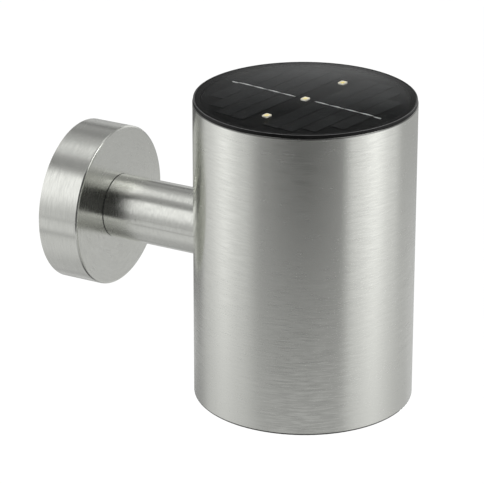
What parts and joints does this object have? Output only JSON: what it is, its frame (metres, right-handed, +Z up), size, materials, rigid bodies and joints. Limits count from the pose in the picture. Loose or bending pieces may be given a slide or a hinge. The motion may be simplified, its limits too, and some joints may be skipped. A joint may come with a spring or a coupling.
{
  "type": "solar wall light",
  "caption": "Cylindrical steel outdoor wall light on a round arm and wall rosette, with a solar panel and lamps in its lift-out top and a diffuser in its foot.",
  "frame": {"origin": "centre of the wall face, on the arm's axis", "axes": "+Y out of the back into the wall, +Z up, the lamp stands off the wall towards -Y"},
  "size_m": [0.1, 0.168, 0.1416],
  "materials": {
    "brushed_shell": "fine brushing round the cylinder",
    "zinc_hardware": "bright zinc plate",
    "black_housing": "fine moulded texture",
    "panel_glass": "clear and flat",
    "panel_board": "black solder mask",
    "solar_cells": "dark silicon with fine contact lines",
    "silver_ribbon": "tinned ribbon",
    "lamp_chips": "white frame with yellow phosphor",
    "black_rubber": "smooth",
    "opal_plastic": "frosted white",
    "green_board": "green solder mask",
    "white_board": "white solder mask on aluminium",
    "board_components": "moulded",
    "battery_sleeve": "shrink sleeve",
    "nickel_contact": "nickel plate",
    "black_lead": "soft sheath",
    "red_lead": "soft sheath",
    "button_red": "moulded"
  },
  "bodies": {
    "lamp_body": {"wall_bracket": "zinc_hardware", "rosette": "brushed_shell", "rosette_screw": "zinc_hardware", "rosette_washer": "zinc_hardware", "rosette_nut": "zinc_hardware", "arm_gasket": "black_rubber", "arm_tube": "brushed_shell", "wall_end_disc": "black_housing", "body_end_disc": "black_housing", "tie_rod": "zinc_hardware", "saddle_block": "zinc_hardware", "body_washer": "zinc_hardware", "body_nut": "zinc_hardware", "shell": "brushed_shell", "diffuser_gasket": "black_rubber", "diffuser": "opal_plastic", "diffuser_ring": "zinc_hardware"},
    "seal_ring": {"head_seal": "black_rubber"},
    "solar_head": {"head_tray": "black_housing", "solar_glass": "panel_glass", "solar_board": "panel_board", "cell_strips": "solar_cells", "bus_ribbons": "silver_ribbon", "top_leds": "lamp_chips", "cover_gasket": "black_rubber", "base_cover": "black_housing", "cover_screws": "zinc_hardware", "battery_holder": "black_housing", "battery_cell": "battery_sleeve", "battery_contacts": "nickel_contact", "control_board": "green_board", "board_parts": "board_components", "board_screws": "zinc_hardware", "panel_lead": "black_lead", "battery_leads": "red_lead", "downlight_lead": "black_lead", "switch_lead": "black_lead", "down_board": "white_board", "down_leds": "lamp_chips", "down_board_screws": "zinc_hardware", "down_lens": "opal_plastic", "lens_screws": "zinc_hardware", "switch_case": "black_housing", "switch_nut": "zinc_hardware"},
    "button": {"switch_button": "button_red"}
  },
  "joints": [
    {"name": "head_lift", "type": "slide", "parent": "lamp_body", "child": "seal_ring", "axis": [0, 0, 1], "range_m": [0, 0.045]},
    {"name": "head_turn", "type": "hinge", "parent": "seal_ring", "child": "solar_head", "pos_m": [0, -0.118, 0], "axis": [0, 0, 1], "continuous": true},
    {"name": "button_press", "type": "slide", "parent": "solar_head", "child": "button", "axis": [0, 0, 1], "range_m": [0, 0.0015], "stiffness_N_per_m": 500, "springref_m": -0.001}
  ]
}
